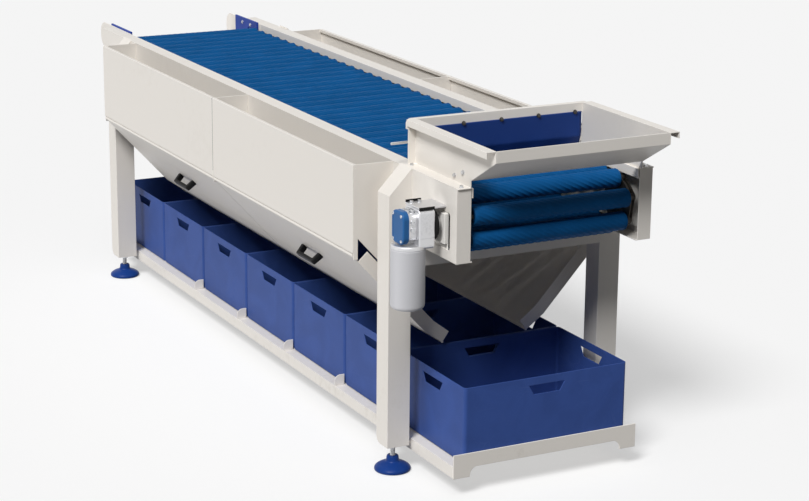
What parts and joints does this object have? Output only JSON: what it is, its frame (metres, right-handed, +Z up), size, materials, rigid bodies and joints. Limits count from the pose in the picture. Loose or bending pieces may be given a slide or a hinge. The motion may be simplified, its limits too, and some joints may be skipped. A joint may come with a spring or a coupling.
{
  "type": "roller inspection table",
  "caption": "Roller bed on posts with a feed hopper at one end, sorting chutes along both sides and a row of crates on a tray underneath, driven by a gearmotor.",
  "frame": {"origin": "on the floor below the middle of the table, on its plane of symmetry", "axes": "+X along the bed towards the feed hopper, +Y to the right side, +Z up"},
  "size_m": [3.274, 0.9466, 1.088],
  "materials": {
    "paint": "satin warm-grey powder coat",
    "bare_steel": "zinc plated",
    "chain_steel": "oiled steel",
    "roller_plastic": "semi-gloss blue tube",
    "track_plastic": "slide plastic",
    "gear_metal": "blasted casting",
    "motor_paint": "light grey enamel",
    "cap_plastic": "blue moulded",
    "flap_rubber": "smooth blue sheet",
    "guide_plastic": "cut sheet",
    "handle_plastic": "black moulded",
    "foot_plastic": "blue moulded",
    "crate_plastic": "blue moulded"
  },
  "bodies": {
    "frame": {"post_far_left": "paint", "post_far_right": "paint", "post_near_left": "paint", "post_near_right": "paint", "cross_members": "paint", "rail_left": "paint", "rail_right": "paint", "chain_guides": "track_plastic", "shaft_bearings": "bare_steel", "gearbox": "gear_metal", "motor": "motor_paint", "shaft_cap": "cap_plastic", "torque_bracket": "gear_metal", "hopper_sides": "paint", "hopper_front": "paint", "hopper_beam": "paint", "flap_band": "flap_rubber", "flap_rod": "bare_steel", "chute_panels": "paint", "chute_plates": "paint", "hinge_rods": "bare_steel", "tray_deck": "paint", "tray_ends": "paint", "tray_fins": "paint", "outfeed_cheeks": "paint", "outfeed_guides": "guide_plastic", "outfeed_slide": "paint", "bolts": "bare_steel"},
    "carry_run": {"carry_rollers": "roller_plastic", "carry_chains": "chain_steel"},
    "return_run": {"return_rollers": "roller_plastic", "return_chains": "chain_steel"},
    "drive_axle": {"drive_shaft": "bare_steel", "drive_wheels": "chain_steel", "drive_rollers": "roller_plastic", "drive_chains": "chain_steel"},
    "tail_axle": {"tail_shaft": "bare_steel", "tail_wheels": "chain_steel", "tail_rollers": "roller_plastic", "tail_chains": "chain_steel"},
    "flap": {"flap_curtain": "flap_rubber"},
    "floor_far_left": {"chute_floor_far_left": "paint", "handle_far_left": "handle_plastic"},
    "floor_near_left": {"chute_floor_near_left": "paint", "handle_near_left": "handle_plastic"},
    "floor_far_right": {"chute_floor_far_right": "paint", "handle_far_right": "handle_plastic"},
    "floor_near_right": {"chute_floor_near_right": "paint", "handle_near_right": "handle_plastic"},
    "foot_far_left": {"foot_far_left": "foot_plastic"},
    "foot_far_right": {"foot_far_right": "foot_plastic"},
    "foot_near_left": {"foot_near_left": "foot_plastic"},
    "foot_near_right": {"foot_near_right": "foot_plastic"},
    "crate_1": {"crate_1": "crate_plastic"},
    "crate_2": {"crate_2": "crate_plastic"},
    "crate_3": {"crate_3": "crate_plastic"},
    "crate_4": {"crate_4": "crate_plastic"},
    "crate_5": {"crate_5": "crate_plastic"},
    "crate_6": {"crate_6": "crate_plastic"},
    "crate_7": {"crate_7": "crate_plastic"}
  },
  "joints": [
    {"name": "bed_advance", "type": "slide", "parent": "frame", "child": "carry_run", "axis": [-1, 0, 0], "range_m": [0, 0.075]},
    {"name": "return_advance", "type": "slide", "parent": "frame", "child": "return_run", "axis": [1, 0, 0], "range_m": [-0.001, 0.076]},
    {"name": "drive_turn", "type": "hinge", "parent": "frame", "child": "drive_axle", "pos_m": [1.386, 0, 0.831], "axis": [0, -1, 0], "range_deg": [-1, 61]},
    {"name": "tail_turn", "type": "hinge", "parent": "frame", "child": "tail_axle", "pos_m": [-1.314, 0, 0.831], "axis": [0, -1, 0], "range_deg": [-1, 61]},
    {"name": "flap_swing", "type": "hinge", "parent": "frame", "child": "flap", "pos_m": [1.158, 0, 1.0095], "axis": [0, 1, 0], "range_deg": [-60, 60]},
    {"name": "floor_far_left_lift", "type": "hinge", "parent": "frame", "child": "floor_far_left", "pos_m": [0, -0.4566, 0.668], "axis": [1, 0, 0], "range_deg": [0, 42]},
    {"name": "floor_near_left_lift", "type": "hinge", "parent": "frame", "child": "floor_near_left", "pos_m": [0, -0.4566, 0.668], "axis": [1, 0, 0], "range_deg": [0, 42]},
    {"name": "floor_far_right_lift", "type": "hinge", "parent": "frame", "child": "floor_far_right", "pos_m": [0, 0.4566, 0.668], "axis": [-1, 0, 0], "range_deg": [0, 42]},
    {"name": "floor_near_right_lift", "type": "hinge", "parent": "frame", "child": "floor_near_right", "pos_m": [0, 0.4566, 0.668], "axis": [-1, 0, 0], "range_deg": [0, 42]},
    {"name": "foot_far_left_level", "type": "slide", "parent": "frame", "child": "foot_far_left", "axis": [0, 0, 1], "range_m": [-0.03, 0]},
    {"name": "foot_far_right_level", "type": "slide", "parent": "frame", "child": "foot_far_right", "axis": [0, 0, 1], "range_m": [-0.03, 0]},
    {"name": "foot_near_left_level", "type": "slide", "parent": "frame", "child": "foot_near_left", "axis": [0, 0, 1], "range_m": [-0.03, 0]},
    {"name": "foot_near_right_level", "type": "slide", "parent": "frame", "child": "foot_near_right", "axis": [0, 0, 1], "range_m": [-0.03, 0]},
    {"name": "crate_2_pull", "type": "slide", "parent": "frame", "child": "crate_2", "axis": [0, -1, 0], "range_m": [-0.45, 0.45]},
    {"name": "crate_3_pull", "type": "slide", "parent": "frame", "child": "crate_3", "axis": [0, -1, 0], "range_m": [-0.45, 0.45]},
    {"name": "crate_4_pull", "type": "slide", "parent": "frame", "child": "crate_4", "axis": [0, -1, 0], "range_m": [-0.45, 0.45]},
    {"name": "crate_5_pull", "type": "slide", "parent": "frame", "child": "crate_5", "axis": [0, -1, 0], "range_m": [-0.45, 0.45]},
    {"name": "crate_6_pull", "type": "slide", "parent": "frame", "child": "crate_6", "axis": [0, -1, 0], "range_m": [-0.45, 0.45]},
    {"name": "crate_1_lift", "type": "slide", "parent": "frame", "child": "crate_1", "axis": [0, 0, 1], "range_m": [0, 0.006]},
    {"name": "crate_7_lift", "type": "slide", "parent": "frame", "child": "crate_7", "axis": [0, 0, 1], "range_m": [0, 0.006]}
  ],
  "couplings": [
    {"joint": "return_advance", "follows": "bed_advance", "ratio": 1},
    {"joint": "drive_turn", "follows": "bed_advance", "rad_per_m": 13.963},
    {"joint": "tail_turn", "follows": "bed_advance", "rad_per_m": 13.963}
  ]
}
